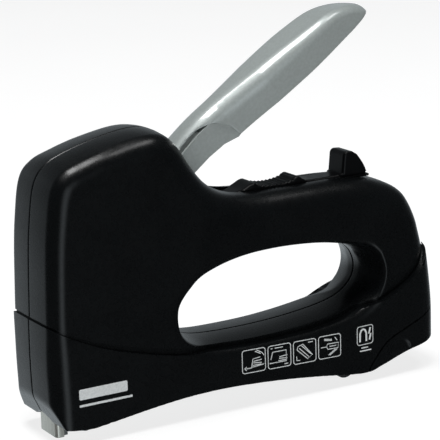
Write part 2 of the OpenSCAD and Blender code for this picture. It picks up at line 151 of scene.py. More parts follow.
class Sheet:
    """A value over X and Z, worked out once on a fine grid and read between its points."""

    def __init__(self, x0, x1, z0, z1, step, rule):
        self.x0, self.z0, self.step = x0, z0, step
        x, z = np.meshgrid(np.arange(x0, x1, step), np.arange(z0, z1, step), indexing="ij")
        self.grid = rule(x, z)

    def __call__(self, x, z):
        u = np.clip((x - self.x0) / self.step, 0, self.grid.shape[0] - 1.001)
        w = np.clip((z - self.z0) / self.step, 0, self.grid.shape[1] - 1.001)
        i = u.astype(int)
        k = w.astype(int)
        u = u - i
        w = w - k
        g = self.grid
        return ((g[i, k] * (1 - u) + g[i + 1, k] * u) * (1 - w)
                + (g[i, k + 1] * (1 - u) + g[i + 1, k + 1] * u) * w)


def round_both(a, b, r):
    """Both of two solids, with their shared edge rounded to radius r."""
    ra = np.maximum(r - a, 0)
    rb = np.maximum(r - b, 0)
    return np.maximum(np.minimum(a, b), r) - np.sqrt(ra * ra + rb * rb)


# ---------------------------------------------------------------- the housing's field

LOWER_HALF = 19.45            # half widths of the lower tier, the head, the handle and the bar
HEAD_HALF = 18.7
HANDLE_HALF = 16.6
BAR_HALF = 18.2
TIER_STEP = 0.4               # how far the lower tier stands out at the front and the rear
MARGIN = 0.03                 # keeps the meshes inside the CAD's box
# Half height and depth of the groove at each X
GROOVE_HALF = ((-6, 4, 20, 50, 110, 138, 175), (0.45, 0.5, 1.1, 1.4, 1.35, 0.75, 0.55))
GROOVE_DEPTH = ((-6, 8, 24, 130, 160), (0.5, 0.6, 0.9, 0.9, 0.6))
CROWN = 75                    # radius of the outline's surfaces across the body
END_CROWN = 0.4               # share of that crown left at the front and the rear
UNDER_EDGE = 0.4
CHIN = ((-1.35, 7), (-5.7, 16.5))
CHIN_EDGE = 0.6
NOSE_ARCH = (7.6, 2.3)        # half width and height of the arch that the nose comes out of
SEAM = 0.13                   # half the gap between the shells, and how far its edges are broken
SEAM_EDGE = 0.28
CAP_GAP = 0.45
CAP_START = 133.5
CAP_TOP = 39
FINGER_RECESS = (151.8, 10.2)
RECESS_RADII = (4.6, 5.6)
RECESS_DEPTH = 0.6

# Edge radii of the outline and of the grip opening, as X, Z and radius
WALL_RADII = [(-6, 60, 5.5), (-6, 20, 6.5), (-4.5, 80, 5.5), (-1, 98, 5.5), (12, 109, 5.5),
              (39, 115, 6.5), (50, 113, 7.5), (58, 103, 8), (67, 92, 8), (80, 86, 8), (100, 84, 8.5),
              (140, 83, 9.5), (155, 78, 10.5), (166, 66, 11.5), (170, 54, 12), (173.5, 30, 12),
              (173.8, 10, 12)]
OPENING_RADII = [(51.5, 41, 2.8), (53, 34, 3.2), (60, 56, 2.8), (80, 61, 2.8), (108, 61, 3),
                 (128, 58.5, 3.5), (139, 51, 4), (141.6, 46, 4), (139, 36, 4.5), (126, 30.5, 5),
                 (106, 28, 5), (68, 29, 4.6)]
SCOOP_WIDTH = 4.6             # the hollow in the sides behind the grip opening
SCOOP_DEPTH = 10.5
SCOOP_BEND = 0.8


def half_width(x, z):
    """Half width above the groove, before its edges are rounded."""
    handle = ease(x, 58, 90) * ease(z, 38, 58)
    rear = ease(x, 134, 150)
    bar = ease(x, 50, 66) * (1 - ease(z, 34, 48)) * (1 - rear)
    w = HEAD_HALF - (HEAD_HALF - HANDLE_HALF) * np.maximum(handle, rear)
    return w - (HEAD_HALF - BAR_HALF) * bar


def scoop(x, z, opening):
    """How far the side sinks towards the rear wall of the grip opening."""
    share = ease(x, 118, 138) * (1 - ease(z, 50, 61)) * ease(z, 27, 34)
    ramp = SCOOP_WIDTH - opening
    bent = np.where(ramp > SCOOP_BEND, ramp, np.maximum(ramp + SCOOP_BEND, 0) ** 2 / (4 * SCOOP_BEND))
    return share * SCOOP_DEPTH / SCOOP_WIDTH * bent


def head_walls(x, z):
    """Distance in from the outline of the head, the handle and the rear, whose underside is left open."""
    outline = np.vstack([[[HEAD_AND_HANDLE[0, 0], FRONT_AND_REAR_FOOT]], HEAD_AND_HANDLE,
                         [[HEAD_AND_HANDLE[-1, 0], FRONT_AND_REAR_FOOT]]])
    return depth_in(outline, x, z) - MARGIN


SHEET_BOX = (-9, 177, -5, 119, 0.36)
groove = Sheet(*SHEET_BOX, lambda x, z: height_over(GROOVE, x, z))
walls = Sheet(*SHEET_BOX, head_walls)
opening = Sheet(*SHEET_BOX, lambda x, z: -depth_in(GRIP_OPENING, x, z))
under = Sheet(*SHEET_BOX, lambda x, z: height_over(UNDERSIDE, x, z))
wall_radius = Sheet(*SHEET_BOX, lambda x, z: spread(WALL_RADII, x, z))
opening_radius = Sheet(*SHEET_BOX, lambda x, z: spread(OPENING_RADII, x, z))
upper_side = Sheet(*SHEET_BOX, lambda x, z: half_width(x, z) - scoop(x, z, opening(x, z)))


def housing_field(x, y, z):
    """Outer form of the housing."""
    g = groove(x, z)
    upper = ease(g, -0.2, 0.2)
    side = LOWER_HALF + (upper_side(x, z) - LOWER_HALF) * upper - np.abs(y)
    share = END_CROWN + (1 - END_CROWN) * ease(x, -2, 14) * (1 - ease(x, 150, 166))
    crown = share * y * y / (2 * CROWN)
    wall = walls(x, z) - TIER_STEP * upper * (1 - ease(z, 56, 82)) - crown
    f = round_both(side, wall, wall_radius(x, z))
    f = round_both(f, opening(x, z) - crown * (1 - ease(z, 44, 54)), opening_radius(x, z))
    arch_half, arch_height = NOSE_ARCH
    arch = arch_height * np.maximum(1 - (y / arch_half) ** 2, 0) * (1 - ease(x, 2, 8))
    f = round_both(f, under(x, z) - arch, UNDER_EDGE)
    (x0, z0), (x1, z1) = CHIN
    run = np.hypot(x1 - x0, z1 - z0)
    chin = ((x - x0) * (z1 - z0) - (z - z0) * (x1 - x0)) / run
    return round_both(f, chin, CHIN_EDGE)


def shell_field(x, y, z):
    """The housing as far as just past its middle plane, with the edge along the seam broken."""
    broken = SEAM_EDGE * (1 - ease(np.abs(y), 0, 2.2 * SEAM_EDGE))
    return np.minimum(housing_field(x, y, z) - broken, y + 1.4)


def cap_field(x, y, z):
    """Outer form of the rear cap, with a finger recess in each side."""
    from_middle = np.hypot(x - FINGER_RECESS[0], z - FINGER_RECESS[1])
    recess = (1 - ease(from_middle, *RECESS_RADII)) * ease(under(x, z), 0.3, 2.5)
    f = housing_field(x, y, z) - RECESS_DEPTH * recess * (np.abs(y) > 10)
    return np.minimum(f, np.minimum(x - CAP_START, CAP_TOP - z))


# ---------------------------------------------------------------- meshing

FINE_BAND = 2.4               # half height of the fine rows along the groove
GRID_FLOOR = -1.5
GRID_TOP = 117


def groove_height(x):
    return np.interp(x, GROOVE[:, 0], GROOVE[:, 1])


def groove_rows(x):
    """Heights of the grid's rows at each X, fine and parallel to the groove where it runs."""
    middle = groove_height(x)[:, None]
    low = middle - FINE_BAND
    high = middle + FINE_BAND
    bottom = GRID_FLOOR + (low - GRID_FLOOR) * np.linspace(0, 1, 48)[None, :-1]
    band = low + (high - low) * np.linspace(0, 1, 15)[None, :-1]
    top = high + (GRID_TOP - high) * np.linspace(0, 1, 116)[None, :]
    return np.hstack([bottom, band, top])


def surface_net(field, xs, ys, zs):
    """Vertices and quads of the field's zero level. zs holds the rows' heights, one set for each X."""
    zs = np.broadcast_to(np.atleast_2d(zs), (len(xs), np.atleast_2d(zs).shape[1]))
    nx, ny, nz = len(xs), len(ys), zs.shape[1]
    shape = (nx, ny, nz)
    px = np.broadcast_to(xs[:, None, None], shape)
    py = np.broadcast_to(ys[None, :, None], shape)
    pz = np.broadcast_to(zs[:, None, :], shape)
    f = np.empty(shape)
    for i in range(0, nx, 32):
        part = slice(i, i + 32)
        f[part] = field(px[part], py[part], pz[part])
    solid = f > 0
    cells = (nx - 1) * (ny - 1) * (nz - 1)
    strides = np.array([(ny - 1) * (nz - 1), nz - 1, 1])
    limits = np.array([nx - 1, ny - 1, nz - 1])
    sums = np.zeros((cells, 3))
    hits = np.zeros(cells)
    crossings = []
    for axis in range(3):
        step = np.zeros(3, int)
        step[axis] = 1
        near = tuple(slice(0, n - s) for n, s in zip(shape, step))
        far = tuple(slice(s, n) for n, s in zip(shape, step))
        at = np.argwhere(solid[near] != solid[far])
        a = tuple(at.T)
        b = tuple((at + step).T)
        t = (f[a] / (f[a] - f[b]))[:, None]
        pa = np.column_stack([px[a], py[a], pz[a]])
        pb = np.column_stack([px[b], py[b], pz[b]])
        point = pa + (pb - pa) * t
        u, v = [k for k in range(3) if k != axis]
        corner = []
        for du, dv in ((0, 0), (1, 0), (1, 1), (0, 1)):
            cell = at.copy()
            cell[:, u] -= du
            cell[:, v] -= dv
            ok = np.all((cell >= 0) & (cell < limits), axis=1)
            flat = np.where(ok, cell @ strides, -1)
            for c in range(3):
                sums[:, c] += np.bincount(flat[ok], point[ok, c], cells)
            hits += np.bincount(flat[ok], minlength=cells)
            corner.append(flat)
        quad = np.column_stack(corner)
        flip = solid[a] != (axis == 1)
        quad[~flip] = quad[~flip][:, ::-1]
        crossings.append(quad[(quad >= 0).all(axis=1)])
    used = hits > 0
    index = np.cumsum(used) - 1
    vertices = sums[used] / hits[used][:, None]
    return vertices, index[np.vstack(crossings)]


def settle(field, vertices, rounds=3):
    """Moves vertices onto the field's zero level."""
    e = 0.02
    v = vertices.copy()
    for _ in range(rounds):
        x, y, z = v.T
        f = field(x, y, z)
        g = np.column_stack([
            field(x + e, y, z) - field(x - e, y, z),
            field(x, y + e, z) - field(x, y - e, z),
            field(x, y, z + e) - field(x, y, z - e)]) / (2 * e)
        size = np.maximum((g * g).sum(axis=1), 0.2)
        move = -g * (f / size)[:, None]
        far = np.maximum(np.linalg.norm(move, axis=1), 1e-9)[:, None]
        v += move * np.minimum(1, 0.3 / far)
    return v


def mesh_object(name, vertices, faces):
    """Object in metres from vertices in millimetres."""
    mesh = bpy.data.meshes.new(name)
    mesh.from_pydata((np.asarray(vertices) * MM).tolist(), [], [list(map(int, f)) for f in faces])
    mesh.update()
    obj = bpy.data.objects.new(name, mesh)
    bpy.context.scene.collection.objects.link(obj)
    return obj


def moulded(name, field, xs, ys, zs):
    """Object whose surface is the field's zero level."""
    vertices, quads = surface_net(field, xs, ys, zs)
    return mesh_object(name, settle(field, vertices), quads)


def signed_area(p):
    """Area of a closed outline, positive where it runs anticlockwise."""
    x, y = np.asarray(p, float).T
    return 0.5 * np.sum(x * np.roll(y, -1) - np.roll(x, -1) * y)


def prism(name, outline, low, high, axis="y"):
    """Closed solid: an outline in X and Z extruded along Y, or one in X and Y extruded along Z."""
    p = np.asarray(outline, float)
    if signed_area(p) < 0:
        p = p[::-1]
    n = len(p)
    rows = []
    for level in (low, high):
        side = np.full(n, float(level))
        columns = {"y": (p[:, 0], side, p[:, 1]), "z": (p[:, 0], p[:, 1], side)}
        rows.append(np.column_stack(columns[axis]))
    vertices = np.vstack(rows)
    first = list(range(n))
    second = list(range(2 * n - 1, n - 1, -1))
    sides = [[i + n, (i + 1) % n + n, (i + 1) % n, i] for i in range(n)]
    faces = [first, second] + sides
    if axis != "y":
        faces = [f[::-1] for f in faces]
    return mesh_object(name, vertices, faces)


def block(name, x0, x1, y0, y1, z0, z1):
    return prism(name, [[x0, y0], [x1, y0], [x1, y1], [x0, y1]], z0, z1, axis="z")


def rod(name, x, z, radius, y0, y1, sides=40):
    return prism(name, arc((x, z), radius, 0, 360, sides + 1)[:-1], y0, y1)


def combine(obj, tools, operation):
    """Cuts obj with each tool, joins them to it, or keeps what they share."""
    for tool in tools:
        step = obj.modifiers.new("combine", "BOOLEAN")
        step.operation = operation
        step.solver = "MANIFOLD"
        step.object = tool
        result = bpy.data.meshes.new_from_object(obj.evaluated_get(bpy.context.evaluated_depsgraph_get()))
        obj.modifiers.clear()
        old = obj.data
        obj.data = result
        bpy.data.meshes.remove(old)
    for tool in tools:
        bpy.data.objects.remove(tool)


def shade(obj, angle=34):
    """Smooth shading, except over edges sharper than the angle."""
    obj.data.shade_smooth()
    obj.data.set_sharp_from_angle(angle=radians(angle))


def duplicate(obj, name):
    """A second object with its own copy of the mesh."""
    twin = obj.copy()
    twin.data = obj.data.copy()
    twin.name = name
    bpy.context.scene.collection.objects.link(twin)
    return twin


def mirror_y(obj):
    """Turns a piece into its mirror image across the middle plane."""
    obj.data.transform(Matrix.Diagonal((1, -1, 1, 1)))
    obj.data.flip_normals()
    return obj


# ---------------------------------------------------------------- camera

LOOK_AT = Vector((0.0790, 0.0, 0.0728))
DISTANCE = 0.7908
AZIMUTH = radians(-29.9)
ELEVATION = radians(13.9)
ROLL = radians(-1.7)
LENS = 163.64


def make_camera():
    data = bpy.data.cameras.new("camera")
    data.lens = LENS
    data.sensor_width = 36
    data.clip_start = 0.01
    camera = bpy.data.objects.new("camera", data)
    bpy.context.scene.collection.objects.link(camera)
    forward = Vector((-sin(AZIMUTH) * cos(ELEVATION), cos(AZIMUTH) * cos(ELEVATION), -sin(ELEVATION)))
    right = Vector((cos(AZIMUTH), sin(AZIMUTH), 0))
    up = right.cross(forward)
    turned = cos(ROLL) * right + sin(ROLL) * up
    upright = cos(ROLL) * up - sin(ROLL) * right
    camera.matrix_world = Matrix((turned, upright, -forward)).transposed().to_4x4()
    camera.location = LOOK_AT - forward * DISTANCE
    bpy.context.scene.camera = camera


make_camera()


# ---------------------------------------------------------------- materials

class Surface:
    """A Principled material and short ways to feed it from noise."""

    NOISE_RANGE = (0.3, 0.7)  # the noise's values that stand for the two ends of a tint or a roughness

    def __init__(self, name, base, roughness, metallic=0.0, coat=0.0, specular=0.5):
        self.material = bpy.data.materials.new(name)
        self.material.use_nodes = True
        self.nodes = self.material.node_tree.nodes
        self.links = self.material.node_tree.links
        self.shader = self.nodes["Principled BSDF"]
        self.place = self.nodes.new("ShaderNodeTexCoord").outputs["Object"]
        self.set("Base Color", (*base, 1))
        self.set("Roughness", roughness)
        self.set("Metallic", metallic)
        self.set("Coat Weight", coat)
        self.set("Coat Roughness", 0.09)
        self.set("Specular IOR Level", specular)

    def set(self, socket, value):
        self.shader.inputs[socket].default_value = value

    def noise(self, scale, detail=2.0, stretch=(1, 1, 1)):
        mapping = self.nodes.new("ShaderNodeMapping")
        mapping.inputs["Scale"].default_value = stretch
        self.links.new(self.place, mapping.inputs["Vector"])
        node = self.nodes.new("ShaderNodeTexNoise")
        node.inputs["Scale"].default_value = scale
        node.inputs["Detail"].default_value = detail
        self.links.new(mapping.outputs["Vector"], node.inputs["Vector"])
        return node.outputs["Fac"]

    def tint(self, value, dark, light):
        node = self.nodes.new("ShaderNodeValToRGB")
        node.color_ramp.elements[0].position = self.NOISE_RANGE[0]
        node.color_ramp.elements[1].position = self.NOISE_RANGE[1]
        node.color_ramp.elements[0].color = (*dark, 1)
        node.color_ramp.elements[1].color = (*light, 1)
        self.links.new(value, node.inputs["Fac"])
        self.links.new(node.outputs["Color"], self.shader.inputs["Base Color"])

    def rough(self, value, low, high):
        node = self.nodes.new("ShaderNodeMapRange")
        node.inputs["From Min"].default_value = self.NOISE_RANGE[0]
        node.inputs["From Max"].default_value = self.NOISE_RANGE[1]
        node.inputs["To Min"].default_value = low
        node.inputs["To Max"].default_value = high
        self.links.new(value, node.inputs["Value"])
        self.links.new(node.outputs["Result"], self.shader.inputs["Roughness"])

    def bump(self, value, strength, distance):
        node = self.nodes.new("ShaderNodeBump")
        node.inputs["Strength"].default_value = strength
        node.inputs["Distance"].default_value = distance
        self.links.new(value, node.inputs["Height"])
        self.links.new(node.outputs["Normal"], self.shader.inputs["Normal"])


def body_plastic():
    s = Surface("body_plastic", (0.0028, 0.0034, 0.0038), 0.27, specular=0.32)
    s.tint(s.noise(60), (0.0024, 0.0029, 0.0033), (0.0034, 0.0041, 0.0046))
    s.rough(s.noise(420, 2), 0.25, 0.3)
    s.bump(s.noise(1100, 0), 0.1, 0.00003)
    return s.material


def lock_plastic():
    s = Surface("lock_plastic", (0.0018, 0.0018, 0.0022), 0.36, specular=0.25)
    s.tint(s.noise(90), (0.0014, 0.0014, 0.0018), (0.0024, 0.0024, 0.003))
    s.rough(s.noise(500, 2), 0.33, 0.4)
    s.bump(s.noise(1300, 0), 0.12, 0.00003)
    return s.material


def foot_rubber():
    s = Surface("foot_rubber", (0.02, 0.02, 0.02), 0.7)
    s.tint(s.noise(220, 4), (0.014, 0.014, 0.014), (0.03, 0.03, 0.03))
    s.rough(s.noise(700, 3), 0.62, 0.8)
    s.bump(s.noise(1800, 4), 0.35, 0.0001)
    return s.material


def lever_enamel(name):
    s = Surface(name, (0.4, 0.44, 0.43), 0.42, metallic=0.2, coat=1.0)
    s.tint(s.noise(900, 2), (0.37, 0.405, 0.395), (0.42, 0.46, 0.45))
    s.rough(s.noise(260, 2), 0.38, 0.46)
    s.bump(s.noise(300, 1), 0.04, 0.00006)
    return s.material


def ground_steel():
    s = Surface("ground_steel", (0.62, 0.62, 0.57), 0.3, metallic=0.7)
    grain = s.noise(240, 5, stretch=(6, 6, 0.5))
    s.tint(grain, (0.52, 0.52, 0.47), (0.74, 0.74, 0.68))
    s.rough(grain, 0.24, 0.4)
    s.bump(grain, 0.15, 0.00006)
    return s.material


def cloudy(name, base, low, high, scale=320):
    """Plated metal, or a dark inner part, with a cloudy tint and a roughness between low and high."""
    s = Surface(name, base, (low + high) / 2, metallic=1.0)
    cloud = s.noise(scale, 4)
    s.tint(cloud, tuple(0.82 * c for c in base), base)
    s.rough(cloud, low, high)
    s.bump(s.noise(scale * 4, 3), 0.12, 0.00005)
    return s.material


def white_print():
    s = Surface("white_print", (0.72, 0.75, 0.75), 0.45)
    s.tint(s.noise(1500, 3), (0.62, 0.65, 0.65), (0.78, 0.8, 0.8))
    s.rough(s.noise(800, 2), 0.4, 0.55)
    return s.material


MATERIALS = {
    "body_plastic": body_plastic(),
    "lock_plastic": lock_plastic(),
    "foot_plastic": foot_rubber(),
    "lever_silver": lever_enamel("lever_silver"),
    "lever_steel": lever_enamel("lever_steel"),
    "nose_steel": ground_steel(),
    "plain_steel": cloudy("plain_steel", (0.5, 0.5, 0.49), 0.28, 0.42),
    "screw_steel": cloudy("screw_steel", (0.32, 0.33, 0.34), 0.3, 0.4, 600),
    "spring_steel": cloudy("spring_steel", (0.36, 0.37, 0.38), 0.22, 0.34, 500),
    "hammer_steel": cloudy("hammer_steel", (0.27, 0.27, 0.28), 0.38, 0.52, 240),
    "bumper_rubber": foot_rubber(),
    "magnet_ferrite": cloudy("magnet_ferrite", (0.06, 0.06, 0.065), 0.5, 0.65, 400),
    "pusher_plastic": cloudy("pusher_plastic", (0.09, 0.09, 0.095), 0.4, 0.5, 400),
}


def finish_piece(piece, slot, body, *nodes):
    """Gives a piece its material and body, and hides the CAD nodes that it stands for."""
    piece.data.materials.clear()
    piece.data.materials.append(MATERIALS[slot])
    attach(piece, body)
    if nodes:
        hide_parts(*nodes)


# ---------------------------------------------------------------- the two shells

PIVOT = (48.0, 96.0)
SCREWS = [(36, 105.6), (40, 56), (37, 25), (70, 73), (112, 23), (150, 30), (157, 62)]
BOSS_RADIUS = 3.6
HOLLOW_HALF = 15
RIB_HALF = HOLLOW_HALF + 0.4  # ribs and bosses reach a little way into the wall
SPRING_WELL = [[-1.5, 30], [-1.5, 92], [2, 99.5], [10, 104.6], [26, 109], [38, 111.5],
               [47, 110], [52, 103], [55.5, 94], [55.5, 88], [48.5, 60], [46, 44], [46, 30]]
HEAD_HOLLOW = [[3, 30], [3, 90], [10, 99.6], [28, 103.5], [42, 105], [53, 103],
               [57, 96.4], [56, 85], [50, 76], [45, 60], [43, 44], [43, 30]]
FLOOR_HOLLOW = [[3, 10.4], [3, 30.1], [30, 30.1], [50, 24], [130, 24], [146, 28],
                [168, 28], [160, 20], [145, 18], [134, 8], [126, 8], [112, 10], [90, 13],
                [66, 14], [36, 11.8]]
HANDLE_HOLLOW = [[60, 68], [66, 80], [74, 80], [84, 78.8], [140, 78.8], [152, 74],
                 [158, 66], [162, 52], [164, 36], [154, 36], [153, 50], [146, 62], [134, 67.5], [90, 67.5]]
LEVER_SLOT = [[46, 87.2], [64, 86.2], [84, 90], [84, 130], [50.5, 118], [46, 104]]
LEVER_SLOT_HALF = 9


def hollows():
    """Spaces inside one shell for the mechanism."""
    return [prism("spring_well", SPRING_WELL, -1, 9.5), prism("head_hollow", HEAD_HOLLOW, -1, HOLLOW_HALF),
            prism("floor_hollow", FLOOR_HOLLOW, -1, HOLLOW_HALF),
            prism("handle_hollow", HANDLE_HOLLOW, -1, 12)]


def inner_ribs():
    """Screw bosses, the pivot's boss and the ribs that hold the mechanism."""
    ribs = [rod("boss", x, z, BOSS_RADIUS, 0, RIB_HALF) for x, z in SCREWS]
    ribs += [rod("pivot_boss", *PIVOT, 6.4, 13.4, RIB_HALF),
             block("low_rib", 6, 30, 13.4, RIB_HALF, 32, 36),
             block("high_rib", 6, 30, 13.4, RIB_HALF, 96, 99),
             block("channel_rib", 60, 126, 7.8, RIB_HALF, 19.8, 24.2)]
    ribs += [block("lock_rib", x, x + 3, 0, 12.2, 67, 74.8) for x in (94, 124.5)]
    return ribs


def shell_cuts():
    """Slots, recesses and pockets of one shell, and all that lies past the seam."""
    behind_cap = np.vstack([CAP_LINE, [[182, -6]]])
    return [prism("lever_slot", LEVER_SLOT, -3, LEVER_SLOT_HALF),
            block("lock_recess", 73.6, 151.6, -3, 6, 82.2, 95),
            block("lock_slot", 84, 136, -3, 3, 76, 84),
            prism("cap_space", behind_cap, -5, 30),
            block("nose_pocket", -0.1, 12, -3, 7.4, -2, 34),
            block("channel_space", 8, 150, -3, 7.4, -2, 19.5),
            block("foot_space", 127.4, 134.3, -3, 9.8, -2, 8.1),
            rod("pivot_bore", *PIVOT, 3.05, 13, 15.2),
            block("other_side", -20, 200, -30, SEAM, -20, 200)]


TURNS = (16.0, 154.0)         # X of the points that the groove's path turns round, front and rear
TURN_POINTS = 50
SIDE_POINTS = 90
PAST_SEAM = 10                # degrees that the path runs on past the middle plane


def groove_path():
    """Points along the groove round one half of the housing, in X and Y, and the directions out of it."""
    front = np.linspace(180 + PAST_SEAM, 90, TURN_POINTS)
    side = np.linspace(*TURNS, SIDE_POINTS)[1:-1]
    rear = np.linspace(90, -PAST_SEAM, TURN_POINTS)
    start = np.concatenate([np.full(TURN_POINTS, TURNS[0]), side, np.full(TURN_POINTS, TURNS[1])])
    angle = np.radians(np.concatenate([front, np.full(len(side), 90.0), rear]))
    along = np.column_stack([np.cos(angle), np.sin(angle)])
    near = np.zeros(len(start))
    far = np.full(len(start), 40.0)
    for _ in range(26):
        reach = (near + far) / 2
        x = start + reach * along[:, 0]
        inside = housing_field(x, reach * along[:, 1], groove_height(x) + 0.4) > 0
        near = np.where(inside, reach, near)
        far = np.where(inside, far, reach)
    path = np.column_stack([start, np.zeros(len(start))]) + near[:, None] * along
    run = np.gradient(path, axis=0)
    out = np.column_stack([-run[:, 1], run[:, 0]])
    return path, out / np.linalg.norm(out, axis=1)[:, None]


def groove_cutter():
    """Closed bar with a rectangular section that follows the groove."""
    path, out = groove_path()
    x = path[:, 0]
    z = groove_height(x)
    half = np.interp(x, *GROOVE_HALF)
    depth = np.interp(x, *GROOVE_DEPTH)[:, None]
    inner = path - depth * out
    outer = path + 4 * out
    rings = np.stack([np.column_stack([inner, z - half]), np.column_stack([inner, z + half]),
                      np.column_stack([outer, z + half]), np.column_stack([outer, z - half])], axis=1)
    n = len(rings)
    faces = [[0, 1, 2, 3], [4 * n - 1, 4 * n - 2, 4 * n - 3, 4 * n - 4]]
    for i in range(n - 1):
        for k in range(4):
            m = (k + 1) % 4
            faces.append([4 * i + k, 4 * i + 4 + k, 4 * i + 4 + m, 4 * i + m])
    return mesh_object("groove", rings.reshape(-1, 3), faces)


def build_shells():
    xs = np.arange(-7.2, 175.2, 0.6)
    near_seam = [-2, -1, -0.3, 0, 0.15, 0.3, 0.45, 0.65]
    right = moulded("housing_right_shell", shell_field, xs, np.append(near_seam, np.arange(1, 20.8, 0.6)),
                    groove_rows(xs))
    combine(right, hollows(), "DIFFERENCE")
    combine(right, inner_ribs(), "UNION")
    combine(right, shell_cuts() + [groove_cutter()], "DIFFERENCE")
    left = mirror_y(duplicate(right, "housing_left_shell"))
    combine(left, [rod("screw_bore", x, z, 1.45, -11.5, 1) for x, z in SCREWS], "DIFFERENCE")
    combine(right, [rod("screw_bore", x, z, 1.65, -1, 30) for x, z in SCREWS], "DIFFERENCE")
    combine(right, [rod("screw_seat", x, z, 3.2, 12.5, 30) for x, z in SCREWS], "DIFFERENCE")
    for piece, node in ((left, "housing_left"), (right, "housing_right")):
        shade(piece)
        finish_piece(piece, "body_plastic", "housing", node)


def build_cap():
    cap = moulded("rear_cap_shell", cap_field, np.arange(133, 175.2, 0.45), np.arange(-21, 21.3, 0.6),
                  np.linspace(1, 40, 100)[None, :])
    clear = CAP_LINE + [CAP_GAP, -CAP_GAP]
    combine(cap, [prism("cap_part", np.vstack([clear, [[182, -6]]]), -30, 30)], "INTERSECT")
    combine(cap, [block("rail_space", 130, 150.1, -4.8, 4.8, 10.1, 16.3),
                  rod("pin_bore", 147, 12.6, 1.55, -12, 12)], "DIFFERENCE")
    shade(cap)
    finish_piece(cap, "body_plastic", "magazine", "rear_cap")


build_shells()
build_cap()


# ---------------------------------------------------------------- lever

SLOPE = radians(33)           # how far the grip rises, seen from the side
GRIP_TOP = spline(
    [[57.5, 106.8], [63.5, 112], [70.4, 117.2], [84.3, 126.3], [103.1, 138.2],
     [117.3, 146.3], [126.9, 151], [136.5, 153], [146.1, 152.5], [152, 150.6], [153.6, 148.6]], 8)
GRIP_UNDER = np.vstack([
    spline([[58.6, 104.4], [60, 106.2], [66.5, 111.4], [73, 113.4], [79, 112.2], [82.6, 109.8],
            [84.4, 107.8]], 8),
    spline([[85, 107.6], [92.6, 112.9], [111.3, 125.3], [130.4, 138.4], [140, 144.3], [145.6, 147.6],
            [150.4, 150.6], [153.8, 152.9]], 6)])
GRIP_ROUND = 76               # where the rounded end starts along the grip, and where it ends
GRIP_END = 114.4
GRIP_HALF = 11.5
DRAFT = 0.075                 # how much the sides lean in, per millimetre down
INNER_RADIUS = 4.4
LOWER_EDGE = 0.7
TOP_RADII = ((15, 40, 60, 80, 100), (6.6, 7.4, 7, 5.5, 3.6))
SKIN = 1.9


def grip_half(u):
    """Half width of the lever's grip along its length, at its top."""
    return np.interp(u, [0, 20, 36, 47, 58, GRIP_ROUND, 130],
                     [8.1, 8.25, 8.5, 9.6, 10.9, GRIP_HALF, GRIP_HALF])


def grip_plan(u, v, cut):
    """Distance in from the grip's outline seen from above, whose end is half an ellipse."""
    half = grip_half(u) - cut
    length = GRIP_END - GRIP_ROUND - cut
    far = np.maximum(u - GRIP_ROUND, 0) / length
    round_end = np.sqrt(far ** 2 + (v / half) ** 2)
    slant = np.sqrt((far / length) ** 2 + (v / half ** 2) ** 2) / np.maximum(round_end, 0.01)
    return np.where(u > GRIP_ROUND, (1 - round_end) / np.maximum(slant, 0.02), half - np.abs(v))


def grip_over(x, z):
    """Distance down from the grip's upper line, seen from the side."""
    outline = np.vstack([GRIP_TOP, [[156, 140], [150, 60], [20, 60], [40, 92]]])
    return depth_in(outline, x, z) - MARGIN


def grip_below(x, z):
    """Distance up from the grip's lower line, seen from the side."""
    outline = np.vstack([GRIP_UNDER, [[156, 147.5], [170, 180], [20, 180], [40, 90]]])
    return depth_in(outline, x, z)


GRIP_BOX = (52, 160, 98, 158, 0.25)
over = Sheet(*GRIP_BOX, grip_over)
below = Sheet(*GRIP_BOX, grip_below)


def grip_field(x, y, z):
    """The grip's cover: a skin over its top and sides, open below."""
    u = (x - PIVOT[0]) * cos(SLOPE) + (z - PIVOT[1]) * sin(SLOPE)
    top = over(x, z)
    draft = DRAFT * np.maximum(top - 3, 0)
    outer = round_both(grip_plan(u, y, 0) - draft, top, np.interp(u, *TOP_RADII))
    inner = round_both(grip_plan(u, y, SKIN) - draft, top - SKIN, INNER_RADIUS)
    skin = np.minimum(outer, -inner)
    return round_both(skin, below(x, z), LOWER_EDGE)


def build_lever():
    grip = moulded("lever_grip_cover", grip_field, np.arange(56.5, 155.5, 0.55),
                   np.arange(-12.7, 12.9, 0.55), np.arange(103, 154.5, 0.55)[None, :])
    shade(grip, 40)
    finish_piece(grip, "lever_silver", "lever", "lever_grip")


build_lever()


# ---------------------------------------------------------------- lever lock

SADDLE = np.vstack([
    spline([[82, 83.4], [86.6, 84.8], [91.8, 87], [95, 86], [99, 85.2], [104, 85.1], [108.8, 85.8],
            [112.3, 87], [115.6, 85.2], [119, 84.4], [132.4, 84.5]], 5),
    [[133.7, 85], [134.4, 91.8]], arc((136.4, 91.8), 2, 170, 95, 5), [[138.8, 93.6]],
    spline([[141.2, 92.1], [144, 88.2], [145.8, 84.4], [146.6, 82.5]], 5), [[82, 82.5]]])
SADDLE_HALF = 5.7             # half width above the saddle's floor, and the slide's below it
SADDLE_FLOOR = 84.5
SLIDE_HALF = 4.7
SADDLE_EDGE = 1.1
TOOTH = 1.8
TOOTH_DEPTH = 0.5
saddle = Sheet(78, 153, 75, 97, 0.15, lambda x, z: depth_in(SADDLE, x, z))


def box_field(x, y, z, x0, x1, half, z0, z1, r):
    """A block centred on the middle plane, with its edges rounded to radius r."""
    inside_x = np.minimum(x - x0, x1 - x)
    inside_z = np.minimum(z - z0, z1 - z)
    return round_both(round_both(inside_x, half - np.abs(y), r), inside_z, r)


